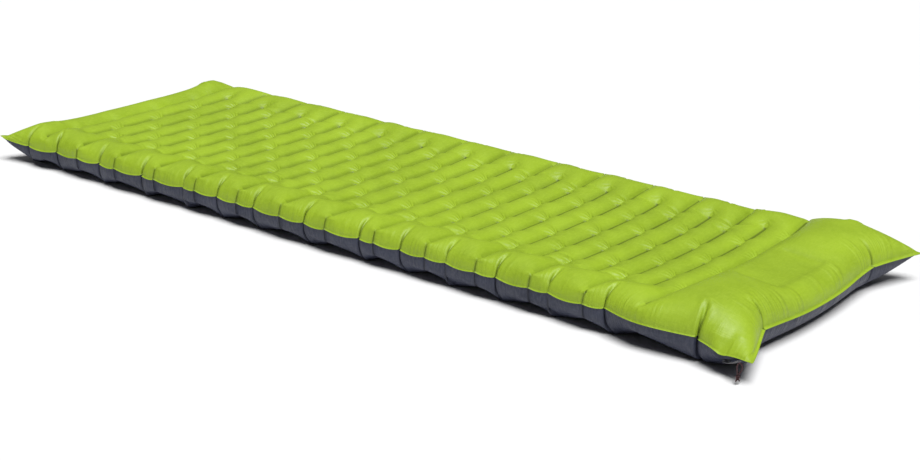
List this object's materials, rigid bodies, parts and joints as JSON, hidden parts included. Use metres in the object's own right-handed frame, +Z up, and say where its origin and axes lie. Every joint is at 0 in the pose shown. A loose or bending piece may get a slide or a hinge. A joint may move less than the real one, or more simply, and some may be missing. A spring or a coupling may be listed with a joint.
{
  "type": "air mattress",
  "caption": "Inflated camping mat: crosswise air tubes between staggered welds, a raised foot pump chamber at one end, valves below its edge.",
  "frame": {"origin": "middle of the bounding box, on the surface that the mat lies on", "axes": "+X along the mat towards the pump chamber, +Y across it away from the intake valve, +Z up"},
  "size_m": [1.83, 0.66, 0.106],
  "materials": {
    "top_fabric": "lime green coated nylon, fine weave, slight satin sheen",
    "bottom_fabric": "slate grey coated nylon, matt",
    "web_fabric": "thin white laminated film",
    "foam": "open-cell foam",
    "valve_plastic": "moulded, fine grain",
    "cap_plastic": "moulded, satin",
    "silicone": "translucent silicone",
    "strap_webbing": "woven tape",
    "cord_fibre": "braided cord"
  },
  "bodies": {
    "mattress": {"top_sheet": "top_fabric", "bottom_sheet": "bottom_fabric", "web_01": "web_fabric", "web_02": "web_fabric", "web_03": "web_fabric", "web_04": "web_fabric", "web_05": "web_fabric", "web_06": "web_fabric", "web_07": "web_fabric", "web_08": "web_fabric", "web_09": "web_fabric", "web_10": "web_fabric", "web_11": "web_fabric", "web_12": "web_fabric", "web_13": "web_fabric", "web_14": "web_fabric", "web_15": "web_fabric", "web_16": "web_fabric", "web_17": "web_fabric", "web_18": "web_fabric", "web_19": "web_fabric", "web_20": "web_fabric", "web_21": "web_fabric", "web_22": "web_fabric", "web_23": "web_fabric", "web_24": "web_fabric", "web_25": "web_fabric", "web_26": "web_fabric", "pump_partition": "web_fabric", "pump_foam_core": "foam", "transfer_valve_seat": "valve_plastic", "intake_valve_flange": "valve_plastic", "intake_valve_body": "valve_plastic", "dump_valve_flange": "valve_plastic", "dump_valve_body": "valve_plastic", "dump_cap_hinge": "valve_plastic"},
    "intake_cap": {"intake_valve_cap": "cap_plastic", "intake_cap_seal": "silicone", "intake_pull_tab": "strap_webbing"},
    "pull_loop": {"pull_cord": "cord_fibre", "pull_cord_knot": "cord_fibre"},
    "intake_flap": {"intake_valve_flap": "silicone"},
    "transfer_flap": {"transfer_valve_flap": "silicone"},
    "dump_cap": {"dump_valve_cap": "cap_plastic", "dump_cap_seal": "silicone"}
  },
  "joints": [
    {"name": "intake_cap_hinge", "type": "hinge", "parent": "mattress", "child": "intake_cap", "pos_m": [0.86827, -0.29962, 0.02287], "axis": [0.5843, 0.7943, -0.1666], "range_deg": [0, 110]},
    {"name": "pull_loop_swing", "type": "hinge", "parent": "intake_cap", "child": "pull_loop", "pos_m": [0.9065, -0.3195, 0.038], "axis": [0.8211, 0.5708, 0], "range_deg": [-60, 60]},
    {"name": "intake_flap_hinge", "type": "hinge", "parent": "mattress", "child": "intake_flap", "pos_m": [0.86757, -0.29636, 0.03597], "axis": [-0.5843, -0.7943, 0.1666], "range_deg": [0, 30], "stiffness_Nm_per_rad": 0.0002},
    {"name": "transfer_flap_hinge", "type": "hinge", "parent": "mattress", "child": "transfer_flap", "pos_m": [0.71065, 0.133, 0.036], "axis": [0, 0, -1], "range_deg": [0, 40], "stiffness_Nm_per_rad": 0.0004},
    {"name": "dump_cap_hinge", "type": "hinge", "parent": "mattress", "child": "dump_cap", "pos_m": [-0.7608, 0.29515, 0.02288], "axis": [0, -0.4283, -0.9036], "range_deg": [0, 110]}
  ]
}
